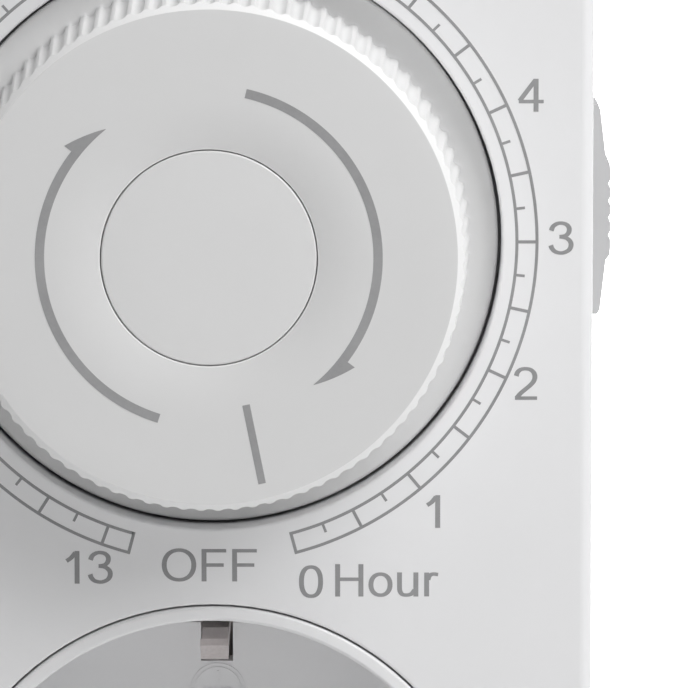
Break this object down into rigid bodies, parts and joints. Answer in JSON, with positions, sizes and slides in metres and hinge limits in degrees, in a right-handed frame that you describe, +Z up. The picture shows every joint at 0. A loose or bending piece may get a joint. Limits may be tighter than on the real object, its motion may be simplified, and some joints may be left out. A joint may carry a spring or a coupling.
{
  "type": "plug in timer switch",
  "caption": "Wall plug countdown timer with a fluted rotary knob, a round earthed socket below it, a side slide switch and an earthed plug at the back.",
  "frame": {"origin": "centre of the plug end face, midway between the pins, on the shared axis of plug and socket", "axes": "+X right seen from the front, +Y into the wall socket along the pins, +Z up the case"},
  "size_m": [0.0589, 0.0857, 0.109],
  "materials": {
    "case": "fine satin texture",
    "socket": "satin moulded",
    "knob": "fine satin texture",
    "knob_cap": "satin",
    "button": "satin grey",
    "inner_plastic": "natural moulded",
    "nickel": "bright nickel plate",
    "steel_strip": "bright spring strip",
    "steel": "turned",
    "motor_steel": "drawn can",
    "brass": "stamped",
    "silver_contact": "silver faced rivet",
    "wire_blue": "lead insulation",
    "wire_brown": "lead insulation"
  },
  "bodies": {
    "root": {"front_cover": "case", "rear_cover": "case", "socket_insert": "socket", "plug_pin_line": "nickel", "plug_pin_neutral": "nickel", "earth_strip_upper": "steel_strip", "earth_strip_lower": "steel_strip", "earth_bridge": "steel_strip", "contact_tulip_line": "brass", "contact_tulip_neutral": "brass", "neutral_busbar": "brass", "line_inlet_strip": "brass", "line_outlet_strip": "brass", "fixed_contact_rivet": "silver_contact", "lever_pin": "steel", "motor_can": "motor_steel", "motor_terminals": "inner_plastic", "dial_bush": "brass", "movement_front_plate": "steel_strip", "movement_rear_plate": "steel_strip", "movement_pillars": "brass", "movement_screws": "steel", "case_screws": "steel", "detent_spring": "steel_strip", "motor_lead_neutral": "wire_blue", "motor_lead_line": "wire_brown"},
    "dial": {"knob": "knob", "knob_cap": "knob_cap", "knob_screw": "steel", "dial_shaft": "steel", "dial_circlip": "steel", "dial_wheel": "inner_plastic", "dial_cam": "inner_plastic", "clutch_spring": "steel_strip"},
    "second_arbor": {"arbor_two": "steel", "wheel_two": "inner_plastic"},
    "first_arbor": {"arbor_one": "steel", "wheel_one": "inner_plastic"},
    "motor_output": {"motor_output_shaft": "steel", "motor_pinion": "brass"},
    "lever": {"switch_lever": "inner_plastic"},
    "blade": {"moving_contact_blade": "steel_strip", "moving_contact_rivet": "silver_contact"},
    "slider": {"override_button": "button", "slider_carriage": "inner_plastic"}
  },
  "joints": [
    {"name": "dial_turn", "type": "hinge", "parent": "root", "child": "dial", "pos_m": [0, -0.056, 0.0487], "axis": [0, 1, 0], "continuous": true},
    {"name": "second_arbor_turn", "type": "hinge", "parent": "root", "child": "second_arbor", "pos_m": [0.01379, -0.04, 0.06027], "axis": [0, 1, 0], "continuous": true},
    {"name": "first_arbor_turn", "type": "hinge", "parent": "root", "child": "first_arbor", "pos_m": [0.0034, -0.04, 0.06627], "axis": [0, 1, 0], "continuous": true},
    {"name": "motor_turn", "type": "hinge", "parent": "root", "child": "motor_output", "pos_m": [-0.0086, -0.04, 0.06627], "axis": [0, 1, 0], "continuous": true},
    {"name": "lever_swing", "type": "hinge", "parent": "root", "child": "lever", "pos_m": [-0.012, -0.027, 0.0326], "axis": [0, 1, 0], "range_deg": [0, 2.4]},
    {"name": "blade_flex", "type": "hinge", "parent": "root", "child": "blade", "pos_m": [0.0175, -0.0262, 0.029], "axis": [0, 1, 0], "range_deg": [-6.1, 0.1]},
    {"name": "override_slide", "type": "slide", "parent": "root", "child": "slider", "axis": [0, 0, -1], "range_m": [0, 0.004]}
  ],
  "couplings": [
    {"joint": "second_arbor_turn", "follows": "dial_turn", "ratio": -5},
    {"joint": "first_arbor_turn", "follows": "dial_turn", "ratio": 15},
    {"joint": "motor_turn", "follows": "dial_turn", "ratio": -45},
    {"joint": "blade_flex", "follows": "lever_swing", "ratio": -2.5}
  ]
}
